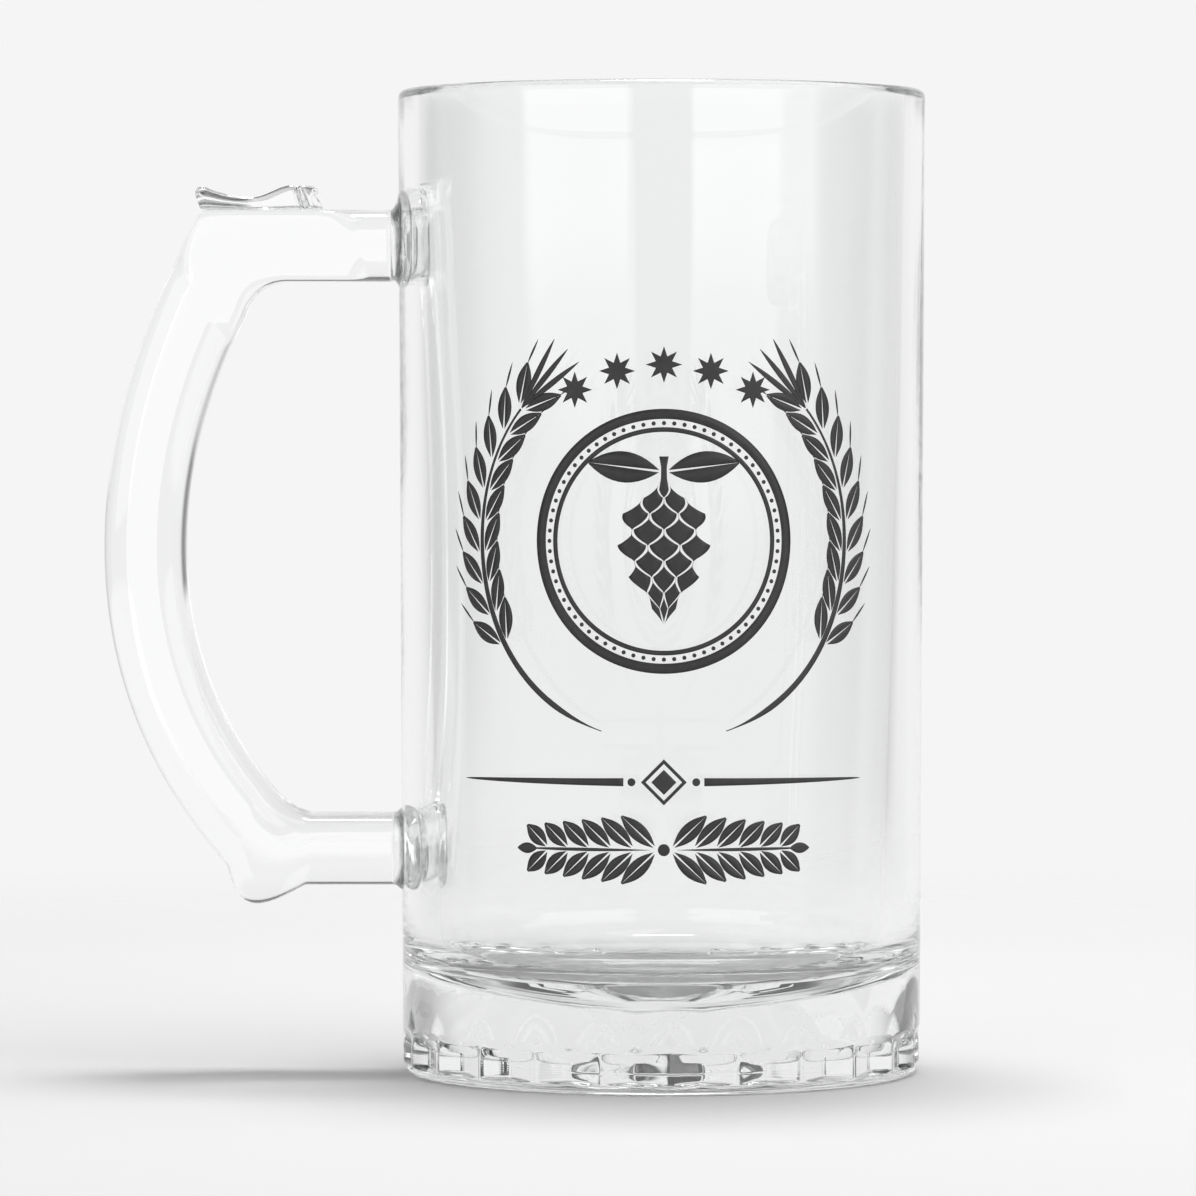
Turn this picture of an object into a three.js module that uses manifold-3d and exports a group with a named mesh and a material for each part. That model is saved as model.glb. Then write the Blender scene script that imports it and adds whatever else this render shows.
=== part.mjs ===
// A glass beer mug: a pressed tumbler on a lobed foot, a solid bow handle with a thumb rest,
// the two gathers of glass that seal the handle to the wall, and a print of fired-on enamel.
// Millimetres, +Z up. The handle points to -X and the print faces -Y. The origin is on the
// table, in the middle of the footprint of tumbler and handle together.
import * as THREE from "three";
import { mergeVertices } from "three/addons/utils/BufferGeometryUtils.js";
import Module from "manifold-3d";

// Tumbler
const bodyHeight = 150;
const rimRadius = 40.2; // outside of the wall at the rim
const heelRadius = 39.6; // outside of the wall just above the foot
const rimWall = 3.3;
const lowerWall = 5.6; // wall at the level of the floor
const floorHeight = 17; // where the inside wall meets the floor
const floorDish = 6.5; // how far the middle of the floor lies below its edge
const floorFillet = 2.4;

// Foot: a ring of lobes, each with two facets that meet at a ridge
const lobeCount = 24;
const lobeRadius = 39.3; // over the ridges
const lobeDepth = 1.4; // how deep the valleys between lobes are
const lobeBottom = 1.4;
const lobeShoulder = 5.4; // the facets stand straight up to here, then round over
const lobeTop = 6.8;
const grooveHeight = 1.9; // the shallow groove that parts the lobes from the wall
const grooveDepth = 0.15;
const grooveScallop = 0.5; // the groove rises over each ridge by this much
const beadRadius = 38.9; // the plain bead under the lobes
const beadHeight = 0.9;
const beadNotch = 0.35; // the crease between bead and lobes
const restRingOuter = 37.2; // the flat ring that the mug stands on
const restRingInner = 34;
const recessDepth = 1.3; // the hollow inside the standing ring
const puntRadius = 9.6; // the deeper hollow in its middle
const puntRise = 3.6;
const rayDepth = 0.15; // flutes that run out from the punt as a star

// Handle
const handleReach = 85.1; // from the tumbler's axis to the outside of the bow
const upperArmBelowRim = 23.7; // centre line of the upper arm
const lowerArmHeight = 34.2; // centre line of the lower arm
const armDepth = 11; // height of an arm's section
const armWidth = 12.5;
const bowDepth = 12.5;
const bowWidth = 14;
const upperFullness = 0.49; // how soon the bow swings out below the shoulder
const lowerFullness = 0.57; // and how long it stays out above the heel
const shoulderReach = 70.4; // upper outside corner of the handle, from the axis
const shoulderDepth = 8.4; // from that corner in to the corner of the finger gap
const shoulderRound = 1.8;
const heelReach = 66.4; // lower outside corner
const heelDepth = 8.6;
const heelRound = 6;
const heelDrop = 5.1; // the lower corner sags below its arm
const gapFillet = 5.2; // corners of the finger gap

// Thumb rest: a saddle of glass on the handle's shoulder
const saddleLength = 18.9;
const saddleWidth = 13.4;
const saddleOverhang = 0.5; // its outer tip stands out past the shoulder's corner
const saddleTip = 3.6; // height of the outer tip
const saddleLip = 2; // length of the lip behind that tip
const saddleDip = 1.85; // height where the thumb lies
const saddleCrest = 3.75; // height of the crest on the tumbler's side
const saddleHook = 1.1; // how far the crest hooks over its foot
const saddleEdge = 0.5; // rounding of its edges

// Seals
const sealThickness = 1.8;
const sealFlare = 2.2; // how far a seal spreads over the wall on each side of its arm
const sealSweep = 1.3; // 1 would be a straight slope, more is hollower
const sealRise = 0.9; // the upper seal sits this much higher than its arm

// Clearances
const glassGap = 0.3; // between pieces of glass
const printGap = 0.1; // between the wall and the print
const printFilm = 0.2; // thickness of the enamel

// Print, laid out on the unrolled wall: across from the middle of the front, and up from the table
const medallionHeight = 82;
const ringRadius = 19.5;
const ringBand = 1.5;
const innerRingRadius = 16.8;
const innerRingBand = 0.7;
const hopLength = 25;
const hopWidth = 14;
const hopRows = 5;
const hopStalk = 4;
const hopLeafLength = 11;
const hopLeafWidth = 4.6;
const wreathRadius = 29.5;
const stalkStart = -1.25; // angles on the wreath, up from the medallion's side
const earStart = -0.55;
const earEnd = 0.72;
const grainLength = 6.4;
const grainWidth = 2.5;
const grainPairs = 9;
const grainTilt = 0.5; // angle of the grains to their stalk
const awnLength = 12;
const awnTilt = 0.22;
const stemWidth = 0.9;
const starRadius = 2.7;
const starWaist = 1.3; // radius of the notches between a star's points
const starPoints = 8;
const starCount = 5;
const starArc = 26; // radius of the arc on which the stars stand
const starSpacing = 0.27; // angle between neighbours on that arc
const ruleBelowWreath = 6; // from the wreath's lowest point down to the rule
const ruleLength = 66;
const ruleThickness = 1.1;
const lozengeSize = 3.4;
const sprigBelowRule = 10;
const sprigLength = 46;
const sprigLeaves = 6; // pairs of leaves on each half
const leafLength = 6.2;
const leafWidth = 2.5;
const leafTilt = 0.75;

// Facets
const around = lobeCount * 4; // facets round the tumbler
const profileSteps = 3;
const handleSides = 16;
const sealSides = 20;
const armSteps = 3;
const cornerSteps = 4;
const bowSteps = 7; // in each half of the bow
const ringSteps = 40;
const stalkSteps = 12;

const wasm = await Module();
wasm.setup();

const upperArmHeight = bodyHeight - upperArmBelowRim;
const bowCrown = (upperArmHeight + lowerArmHeight) / 2; // where the bow reaches farthest
const footHeight = lobeTop + grooveHeight;
const ruleHeight = medallionHeight - wreathRadius - ruleBelowWreath;
const sprigHeight = ruleHeight - sprigBelowRule;

// The outside of the wall is a slim cone between the foot and the rim.
function wallRadius(height) {
  const share = (height - footHeight) / (bodyHeight - footHeight);
  return heelRadius + (rimRadius - heelRadius) * share;
}

// Boolean work

function solidOf(geometry) {
  const bare = new THREE.BufferGeometry();
  bare.setAttribute("position", geometry.attributes.position);
  bare.setIndex(geometry.index);
  const merged = mergeVertices(bare, 1e-4);
  const corners = merged.index.array;
  const faces = [];
  for (let i = 0; i < corners.length; i += 3) {
    const [a, b, c] = corners.slice(i, i + 3);
    if (a !== b && b !== c && c !== a) faces.push(a, b, c);
  }
  const vertProperties = new Float32Array(merged.attributes.position.array);
  const triVerts = new Uint32Array(faces);
  return new wasm.Manifold(new wasm.Mesh({ numProp: 3, vertProperties, triVerts }));
}

function geometryOf(solid) {
  const mesh = solid.getMesh();
  const geometry = new THREE.BufferGeometry();
  geometry.setAttribute("position", new THREE.BufferAttribute(mesh.vertProperties, mesh.numProp));
  geometry.setIndex(new THREE.BufferAttribute(mesh.triVerts, 1));
  return geometry;
}

// Turns a profile of (radius, height) points about the Z axis, with its first column at -Y.
function revolve(profile) {
  return new THREE.LatheGeometry(profile, around).rotateX(Math.PI / 2);
}

// A rounded rectangle: half-sizes a and b along the directions u and v.
function roundedRing(centre, u, a, v, b, sides) {
  const squareness = 3.4;
  const bulge = (value) => Math.sign(value) * Math.abs(value) ** (2 / squareness);
  const ring = [];
  for (let i = 0; i < sides; i++) {
    const angle = (i / sides) * 2 * Math.PI;
    const point = centre.clone();
    point.addScaledVector(u, a * bulge(Math.cos(angle)));
    point.addScaledVector(v, b * bulge(Math.sin(angle)));
    ring.push(point);
  }
  return ring;
}

// A closed skin over a row of rings, with a flat fan over each end.
function loft(rings) {
  const count = rings[0].length;
  const last = (rings.length - 1) * count;
  const index = [];
  for (let row = 0; row < last; row += count) {
    for (let i = 0; i < count; i++) {
      const here = row + i;
      const beside = row + ((i + 1) % count);
      index.push(here, beside, beside + count, here, beside + count, here + count);
    }
  }
  for (let i = 1; i + 1 < count; i++) {
    index.push(0, i + 1, i, last, last + i, last + i + 1);
  }
  const geometry = new THREE.BufferGeometry().setFromPoints(rings.flat());
  geometry.setIndex(index);
  return geometry;
}

const axisX = new THREE.Vector3(1, 0, 0);
const axisY = new THREE.Vector3(0, 1, 0);
const axisZ = new THREE.Vector3(0, 0, 1);

// Tumbler

// 0 on a lobe's ridge and 1 in the valley between two lobes.
function valleyShare(angle) {
  const turn = (angle * lobeCount) / (2 * Math.PI);
  return 2 * Math.abs(turn - Math.round(turn));
}

function bodyProfile() {
  const rimCentre = rimRadius - rimWall / 2;
  const floorRadius = wallRadius(floorHeight) - lowerWall;
  const dishRadius = floorRadius - floorFillet;
  const crease = beadRadius - beadNotch;
  const groove = lobeRadius - grooveDepth;
  const rise = grooveHeight / 3;
  const profile = new THREE.Path();
  profile.moveTo(0, recessDepth + puntRise);
  profile.quadraticCurveTo(puntRadius / 4, recessDepth + puntRise, puntRadius, recessDepth);
  profile.lineTo(restRingInner - recessDepth, recessDepth);
  profile.lineTo(restRingInner, 0);
  profile.lineTo(restRingOuter, 0);
  profile.quadraticCurveTo(beadRadius, 0, beadRadius, beadHeight / 2);
  profile.quadraticCurveTo(beadRadius, beadHeight, crease, beadHeight);
  profile.quadraticCurveTo(crease, lobeBottom, lobeRadius, lobeBottom + beadNotch);
  profile.lineTo(lobeRadius, lobeShoulder);
  profile.quadraticCurveTo(lobeRadius, lobeTop, groove, lobeTop);
  profile.bezierCurveTo(groove, lobeTop + rise, heelRadius, footHeight - rise, heelRadius, footHeight);
  profile.absarc(rimCentre, bodyHeight - rimWall / 2, rimWall / 2, 0, Math.PI);
  profile.lineTo(floorRadius, floorHeight + floorFillet);
  profile.quadraticCurveTo(floorRadius, floorHeight, dishRadius, floorHeight - floorFillet / 4);
  profile.quadraticCurveTo(dishRadius / 2, floorHeight - floorDish, 0, floorHeight - floorDish);
  return profile.getPoints(profileSteps);
}

// Draws the valleys in between the lobes, lifts the groove over each ridge, and presses the star.
function pressPattern(geometry) {
  const place = geometry.attributes.position;
  const point = new THREE.Vector3();
  const { smoothstep } = THREE.MathUtils;
  const roofEdge = restRingInner - recessDepth;
  for (let i = 0; i < place.count; i++) {
    point.fromBufferAttribute(place, i);
    const valley = valleyShare(Math.atan2(point.x, -point.y));
    const radius = Math.hypot(point.x, point.y);
    const onOutside = radius > restRingOuter;
    if (onOutside && point.z > beadHeight && point.z < footHeight) {
      const rising = smoothstep(point.z, beadHeight, lobeBottom + beadNotch);
      const fading = smoothstep(point.z, lobeShoulder, footHeight);
      const inward = lobeDepth * valley * rising * (1 - fading);
      const scale = (radius - inward) / radius;
      const belowGroove = smoothstep(point.z, lobeShoulder, lobeTop);
      const aboveGroove = smoothstep(point.z, lobeTop, footHeight);
      const lift = grooveScallop * (0.5 - valley) * belowGroove * (1 - aboveGroove);
      place.setXYZ(i, point.x * scale, point.y * scale, point.z + lift);
    }
    if (radius < roofEdge && point.z <= recessDepth + puntRise) {
      const growing = smoothstep(radius, 0, puntRadius);
      const dying = smoothstep(radius, puntRadius, roofEdge);
      place.setZ(i, point.z - rayDepth * valley * growing * (1 - dying));
    }
  }
}

function glassBody() {
  const geometry = revolve(bodyProfile());
  pressPattern(geometry);
  return geometry;
}

// The space that the tumbler's outside takes, let out by a clearance.
function wallCone(clearance) {
  const profile = [
    new THREE.Vector2(0, footHeight),
    new THREE.Vector2(wallRadius(footHeight) + clearance, footHeight),
    new THREE.Vector2(wallRadius(bodyHeight) + clearance, bodyHeight),
    new THREE.Vector2(0, bodyHeight),
  ];
  return solidOf(revolve(profile));
}

// Handle

function armStart(height) {
  return -(wallRadius(height) + sealThickness + glassGap);
}

// Two curves that meet upright at the crown, where the bow reaches farthest.
function bowTo(rail, reach, endX, endZ) {
  const start = rail.currentPoint.clone();
  const above = bowCrown + (start.y - bowCrown) * upperFullness;
  const below = bowCrown - (bowCrown - endZ) * lowerFullness;
  rail.quadraticCurveTo(-reach, above, -reach, bowCrown);
  rail.quadraticCurveTo(-reach, below, endX, endZ);
}

function outerRail() {
  const top = upperArmHeight + armDepth / 2;
  const bottom = lowerArmHeight - armDepth / 2;
  const rail = new THREE.Path();
  rail.moveTo(armStart(upperArmHeight), top);
  rail.lineTo(-shoulderReach + shoulderRound, top);
  rail.quadraticCurveTo(-shoulderReach, top, -shoulderReach - shoulderRound / 3, top - shoulderRound);
  bowTo(rail, handleReach, -heelReach, bottom + heelRound / 2);
  const corner = new THREE.Vector2(-heelReach + 0.3 * heelRound, bottom - heelDrop);
  const sole = new THREE.Vector2(-heelReach + 0.9 * heelRound, bottom - 0.7 * heelDrop);
  rail.bezierCurveTo(corner.x, corner.y, sole.x, sole.y, -heelReach + 2 * heelRound, bottom);
  rail.lineTo(armStart(lowerArmHeight), bottom);
  return rail;
}

function innerRail() {
  const top = upperArmHeight - armDepth / 2;
  const bottom = lowerArmHeight + armDepth / 2;
  const shoulder = -shoulderReach + shoulderDepth;
  const heel = -heelReach + heelDepth;
  const rail = new THREE.Path();
  rail.moveTo(armStart(upperArmHeight), top);
  rail.lineTo(shoulder + gapFillet, top);
  rail.quadraticCurveTo(shoulder, top, shoulder - gapFillet / 3, top - gapFillet);
  bowTo(rail, handleReach - bowDepth, heel - gapFillet / 2, bottom + gapFillet);
  rail.quadraticCurveTo(heel + gapFillet / 4, bottom, heel + gapFillet, bottom);
  rail.lineTo(armStart(lowerArmHeight), bottom);
  return rail;
}

// Both rails have an arm, a corner, two halves of the bow, a corner and an arm, cut into as many steps each.
function railPoints(rail) {
  const steps = [armSteps, cornerSteps, bowSteps, bowSteps, cornerSteps, armSteps];
  return rail.curves.flatMap((curve, i) => curve.getPoints(steps[i]).slice(i ? 1 : 0));
}

function handle() {
  const outside = railPoints(outerRail());
  const inside = railPoints(innerRail());
  const rings = outside.map((outer, i) => {
    const inner = inside[i];
    const centre = new THREE.Vector3((outer.x + inner.x) / 2, 0, (outer.y + inner.y) / 2);
    const across = new THREE.Vector3(outer.x - inner.x, 0, outer.y - inner.y);
    const halfDepth = across.length() / 2;
    const swell = Math.sin((i / (outside.length - 1)) * Math.PI);
    const halfWidth = (armWidth + (bowWidth - armWidth) * swell) / 2;
    return roundedRing(centre, across.normalize(), halfDepth, axisY, halfWidth, handleSides);
  });
  return loft(rings);
}

// The saddle's side view: a wave from the outer tip through the dip to the hooked crest.
function saddleOutline() {
  const crest = saddleLength - 4 * saddleHook;
  const dip = crest * 0.55;
  const outline = new THREE.Shape();
  outline.moveTo(saddleOverhang, 0);
  outline.quadraticCurveTo(saddleOverhang, saddleTip / 2, 0, saddleTip - saddleEdge);
  outline.quadraticCurveTo(saddleEdge, saddleTip + saddleEdge, saddleLip, saddleTip - saddleEdge / 2);
  outline.quadraticCurveTo(dip / 2, saddleDip, dip, saddleDip);
  outline.bezierCurveTo(dip * 1.3, saddleDip, crest * 0.8, saddleCrest, crest, saddleCrest);
  outline.lineTo(saddleLength - saddleHook, saddleCrest);
  outline.quadraticCurveTo(saddleLength, saddleCrest, saddleLength, saddleCrest - saddleHook);
  outline.quadraticCurveTo(saddleLength - 1.5 * saddleHook, saddleCrest / 2, saddleLength, 0);
  return outline;
}

function thumbRest() {
  const depth = saddleWidth - 2 * saddleEdge;
  const rounding = { bevelThickness: saddleEdge, bevelSize: saddleEdge, bevelOffset: -saddleEdge };
  const bar = { depth, curveSegments: 4, bevelSegments: 2, ...rounding };
  const geometry = new THREE.ExtrudeGeometry(saddleOutline(), bar);
  geometry.rotateX(Math.PI / 2);
  const seat = upperArmHeight + armDepth / 2 + glassGap;
  return geometry.translate(-shoulderReach - saddleOverhang, depth / 2, seat);
}

// A seal spreads from the arm's section over the wall, and is hollowed to the wall's curve.
function seal(height, rise) {
  const outerX = -(wallRadius(height) + sealThickness);
  const spread = [0, 0.4, 0.75, 1];
  const rings = spread.map((share) => {
    const flare = sealFlare * share ** sealSweep;
    const centre = new THREE.Vector3(outerX + sealThickness * share, 0, height + rise * share);
    const halfHeight = armDepth / 2 + flare;
    return roundedRing(centre, axisY, armWidth / 2 + flare, axisZ, halfHeight, sealSides);
  });
  const inside = rings.at(-1).map((point) => point.clone().addScaledVector(axisX, armWidth / 2));
  rings.push(inside);
  return geometryOf(solidOf(loft(rings)).subtract(wallCone(glassGap)));
}

// Print: flat outlines on the unrolled wall, wrapped round it

function wrapped(points) {
  const radius = wallRadius(medallionHeight);
  return points.map(([across, up]) => new THREE.Vector2(radius * Math.sin(across / radius), up));
}

function printShape(points) {
  return new THREE.Shape(wrapped(points));
}

function circle(across, up, radius, count) {
  const points = [];
  for (let i = 0; i < count; i++) {
    const angle = (i / count) * 2 * Math.PI;
    points.push([across + radius * Math.cos(angle), up + radius * Math.sin(angle)]);
  }
  return points;
}

function ringShape(up, radius, band) {
  const shape = printShape(circle(0, up, radius, ringSteps));
  shape.holes.push(new THREE.Path(wrapped(circle(0, up, radius - band, ringSteps))));
  return shape;
}

// A pointed oval from (across, up) along an angle: two arcs of a parabola.
function leaf(across, up, angle, length, width) {
  const points = [];
  const half = 3;
  for (let i = 0; i < 2 * half; i++) {
    const side = i < half ? 1 : -1;
    const along = side > 0 ? i / half : 2 - i / half;
    const out = side * (width / 2) * 4 * along * (1 - along);
    points.push([
      across + length * along * Math.cos(angle) + out * Math.sin(angle),
      up + length * along * Math.sin(angle) - out * Math.cos(angle),
    ]);
  }
  return printShape(points);
}

function starShape(across, up) {
  const points = [];
  for (let i = 0; i < 2 * starPoints; i++) {
    const radius = i % 2 ? starWaist : starRadius;
    const angle = Math.PI / 2 + (i / starPoints) * Math.PI;
    points.push([across + radius * Math.cos(angle), up + radius * Math.sin(angle)]);
  }
  return printShape(points);
}

const printSleeve = (() => {
  const low = footHeight + 1;
  const high = bodyHeight - rimWall;
  const inner = (height) => wallRadius(height) + printGap;
  const outer = (height) => inner(height) + printFilm;
  const profile = [
    new THREE.Vector2(inner(low), low),
    new THREE.Vector2(outer(low), low),
    new THREE.Vector2(outer(high), high),
    new THREE.Vector2(inner(high), high),
    new THREE.Vector2(inner(low), low),
  ];
  return solidOf(revolve(profile));
})();

// Joins outlines to one patch of enamel on the front of the wall.
function enamel(shapes) {
  const depth = rimRadius + heelRadius;
  const prisms = shapes.map((shape) => {
    const prism = new THREE.ExtrudeGeometry(shape, { depth, bevelEnabled: false, steps: 1 });
    return solidOf(prism.rotateX(Math.PI / 2));
  });
  const joined = prisms.reduce((sum, prism) => sum.add(prism));
  return geometryOf(joined.intersect(printSleeve));
}

// A hop cone: an egg of bracts that overlap downwards to a tip, hung from a stalk between two leaves.
function hopCone() {
  const top = medallionHeight + hopLength / 2 - hopStalk;
  const down = -Math.PI / 2;
  const step = (hopLength - hopStalk) / (hopRows + 1);
  const shapes = [leaf(0, top + hopStalk, down, hopLength, hopWidth * 0.8)];
  for (let row = 0; row < hopRows; row++) {
    const share = row / hopRows;
    const spread = (hopWidth / 2) * Math.cos(share * Math.PI * 0.5) ** 0.7;
    for (const side of [1, -1]) {
      const lean = down + side * (0.8 - 0.7 * share);
      const length = step * (2 - 0.7 * share);
      shapes.push(leaf(side * spread * 0.35, top - row * step, lean, length, hopWidth * 0.34));
    }
  }
  for (const angle of [0.12, Math.PI - 0.12]) {
    shapes.push(leaf(0, top + hopStalk * 0.4, angle, hopLeafLength, hopLeafWidth));
  }
  return enamel(shapes);
}

// A point of the wreath: an angle up from the right-hand side, mirrored for the left ear.
function wreathPoint(side, angle, radius) {
  return [side * radius * Math.cos(angle), medallionHeight + radius * Math.sin(angle)];
}

// An ear of barley bent round the medallion: a stalk, pairs of grains and a fan of awns.
function barleyEar(side) {
  const stalk = [];
  for (let i = 0; i <= stalkSteps; i++) {
    stalk.push(stalkStart + ((earEnd - stalkStart) * i) / stalkSteps);
  }
  const outside = stalk.map((angle) => wreathPoint(side, angle, wreathRadius + stemWidth / 2));
  const inside = stalk.map((angle) => wreathPoint(side, angle, wreathRadius - stemWidth / 2));
  const shapes = [printShape([...outside, ...inside.reverse()])];
  const heading = (angle, tilt) => {
    const forward = angle + Math.PI / 2 + tilt;
    return side > 0 ? forward : Math.PI - forward;
  };
  for (let pair = 0; pair < grainPairs; pair++) {
    const angle = earStart + ((earEnd - earStart) * pair) / (grainPairs - 1);
    const [across, up] = wreathPoint(side, angle, wreathRadius);
    for (const tilt of [grainTilt, -grainTilt]) {
      shapes.push(leaf(across, up, heading(angle, tilt), grainLength, grainWidth));
    }
  }
  const [tipAcross, tipUp] = wreathPoint(side, earEnd, wreathRadius);
  for (const tilt of [-awnTilt, 0, awnTilt]) {
    shapes.push(leaf(tipAcross, tipUp, heading(earEnd, tilt), awnLength, stemWidth));
  }
  return enamel(shapes);
}

// A rule that tapers to both ends, with a lozenge on its middle.
function taperedRule() {
  const lozenge = [
    [lozengeSize, ruleHeight],
    [0, ruleHeight + lozengeSize],
    [-lozengeSize, ruleHeight],
    [0, ruleHeight - lozengeSize],
  ];
  return enamel([
    leaf(-ruleLength / 2, ruleHeight, 0, ruleLength, ruleThickness),
    printShape(lozenge),
  ]);
}

// A sprig that grows to both sides from the middle, its leaves in pairs.
function sprig() {
  const shapes = [leaf(-sprigLength / 2, sprigHeight, 0, sprigLength, stemWidth * 1.4)];
  for (const side of [1, -1]) {
    for (let pair = 0; pair < sprigLeaves; pair++) {
      const share = (pair + 0.4) / sprigLeaves;
      const across = side * (sprigLength / 2 - leafLength / 2) * share;
      const length = leafLength * (1.15 - 0.45 * share);
      for (const tilt of [leafTilt, -leafTilt]) {
        const angle = side > 0 ? tilt : Math.PI - tilt;
        shapes.push(leaf(across, sprigHeight, angle, length, leafWidth));
      }
    }
  }
  return enamel(shapes);
}

function star(number) {
  const angle = Math.PI / 2 + ((starCount - 1) / 2 - number) * starSpacing;
  return enamel([starShape(starArc * Math.cos(angle), medallionHeight + starArc * Math.sin(angle))]);
}

// Assembly

const glass = { color: 0xe9efef, roughness: 0.04, metalness: 0, transparent: true, opacity: 0.4 };
const charcoal = { color: 0x2e2e2e, roughness: 0.6, metalness: 0 };

const mug = new THREE.Group();
mug.position.x = (handleReach - rimRadius) / 2;

function addPiece(name, geometry, finish) {
  const piece = new THREE.Mesh(geometry, new THREE.MeshStandardMaterial(finish));
  piece.name = name;
  mug.add(piece);
}

addPiece("glass_body", glassBody(), glass);
addPiece("handle", handle(), glass);
addPiece("thumb_rest", thumbRest(), glass);
addPiece("upper_seal", seal(upperArmHeight, sealRise), glass);
addPiece("lower_seal", seal(lowerArmHeight, 0), glass);
addPiece("print_ring", enamel([ringShape(medallionHeight, ringRadius, ringBand)]), charcoal);
addPiece("print_inner_ring", enamel([ringShape(medallionHeight, innerRingRadius, innerRingBand)]), charcoal);
addPiece("print_hop_cone", hopCone(), charcoal);
addPiece("print_barley_left", barleyEar(-1), charcoal);
addPiece("print_barley_right", barleyEar(1), charcoal);
addPiece("print_rule", taperedRule(), charcoal);
addPiece("print_sprig", sprig(), charcoal);
for (let number = 0; number < starCount; number++) {
  addPiece(`print_star_${number + 1}`, star(number), charcoal);
}

const model = new THREE.Group();
model.add(mug);
export default model;
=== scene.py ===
import math

import bpy
import numpy as np
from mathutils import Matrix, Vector


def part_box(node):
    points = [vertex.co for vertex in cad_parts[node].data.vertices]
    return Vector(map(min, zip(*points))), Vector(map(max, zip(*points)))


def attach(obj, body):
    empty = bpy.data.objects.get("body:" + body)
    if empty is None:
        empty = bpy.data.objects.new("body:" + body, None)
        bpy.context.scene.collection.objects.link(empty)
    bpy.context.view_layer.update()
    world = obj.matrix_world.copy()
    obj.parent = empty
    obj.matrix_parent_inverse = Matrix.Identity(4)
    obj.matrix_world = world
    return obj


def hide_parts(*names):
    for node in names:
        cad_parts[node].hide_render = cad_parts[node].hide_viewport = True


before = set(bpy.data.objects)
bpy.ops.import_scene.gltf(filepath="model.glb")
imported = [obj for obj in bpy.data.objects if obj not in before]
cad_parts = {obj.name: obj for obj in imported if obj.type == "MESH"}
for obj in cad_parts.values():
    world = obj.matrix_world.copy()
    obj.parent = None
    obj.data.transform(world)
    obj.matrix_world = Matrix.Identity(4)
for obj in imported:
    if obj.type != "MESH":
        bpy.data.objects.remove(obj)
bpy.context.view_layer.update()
scene = bpy.context.scene
mm = 0.001   # the mug's sizes below are in millimetres

# where the tumbler stands: the middle of its CAD box
bodyLow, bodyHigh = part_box("glass_body")
axisX = (bodyLow.x + bodyHigh.x) / 2 / mm
print("frame loaded, tumbler axis at", round(axisX, 2), "mm")


# Mesh helpers

def bezier2(p0, p1, p2, count):
    # quadratic curve: (1-t)^2 p0 + 2t(1-t) p1 + t^2 p2
    t = np.linspace(0, 1, count + 1)[:, None]
    return (1 - t) ** 2 * np.array(p0) + 2 * t * (1 - t) * np.array(p1) + t**2 * np.array(p2)


def bezier3(p0, p1, p2, p3, count):
    # cubic curve, the four points weighted by Bernstein terms
    t = np.linspace(0, 1, count + 1)[:, None]
    return ((1 - t) ** 3 * np.array(p0) + 3 * t * (1 - t) ** 2 * np.array(p1)
            + 3 * t**2 * (1 - t) * np.array(p2) + t**3 * np.array(p3))


def straight(p0, p1, count):
    # evenly spaced points from p0 to p1
    t = np.linspace(0, 1, count + 1)[:, None]
    return (1 - t) * np.array(p0, float) + t * np.array(p1, float)


def chain(*runs):
    # runs end to end, each one's first point dropped where it repeats the last
    return np.concatenate([runs[0]] + [run[1:] for run in runs[1:]])


def smoothStep(value, low, high):
    # 0 below low, 1 above high, 3t^2 - 2t^3 between
    t = np.clip((value - low) / (high - low), 0, 1)
    return t * t * (3 - 2 * t)


def circle(count, start=0.0):
    # unit vectors, evenly round from the start angle
    angle = start + np.linspace(0, 2 * math.pi, count, endpoint=False)
    return np.stack((np.cos(angle), np.sin(angle)), -1)


class Skin:
    # gathers closed islands of rings, then puts them into one mesh
    def __init__(self):
        self.points = []
        self.faces = []
        self.total = 0

    def rings(self, rings, startPoint=None, endPoint=None, closeRows=False):
        # four-sided faces from ring to ring, and a fan of triangles to a point at either end
        rows, cols = rings.shape[:2]
        ring = self.total + np.arange(rows * cols).reshape(rows, cols)
        beside = np.roll(ring, -1, axis=1)

        def steps(grid):
            # each row with the one after it
            return (grid, np.roll(grid, -1, axis=0)) if closeRows else (grid[:-1], grid[1:])

        (here, ahead), (nextHere, nextAhead) = steps(ring), steps(beside)
        self.faces += np.stack((here, nextHere, nextAhead, ahead), -1).reshape(-1, 4).tolist()
        self.points.append(rings.reshape(-1, 3))
        self.total += rows * cols
        for tip, edge, edgeNext in ((startPoint, beside[0], ring[0]), (endPoint, ring[-1], beside[-1])):
            if tip is None:
                continue
            apex = np.full(cols, self.total)
            self.faces += np.stack((apex, edge, edgeNext), -1).tolist()
            self.points.append(np.array(tip, float)[None])
            self.total += 1
        return self

    def piece(self, name, replaced, slotName, material):
        mesh = bpy.data.meshes.new(name)
        mesh.from_pydata(np.concatenate(self.points) * mm, [], self.faces)
        mesh.update()
        mesh.shade_smooth()
        mesh.materials.append(material)
        obj = bpy.data.objects.new(name, mesh)
        scene.collection.objects.link(obj)
        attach(obj, "root")
        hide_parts(replaced)
        return obj


# Shader helpers

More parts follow.
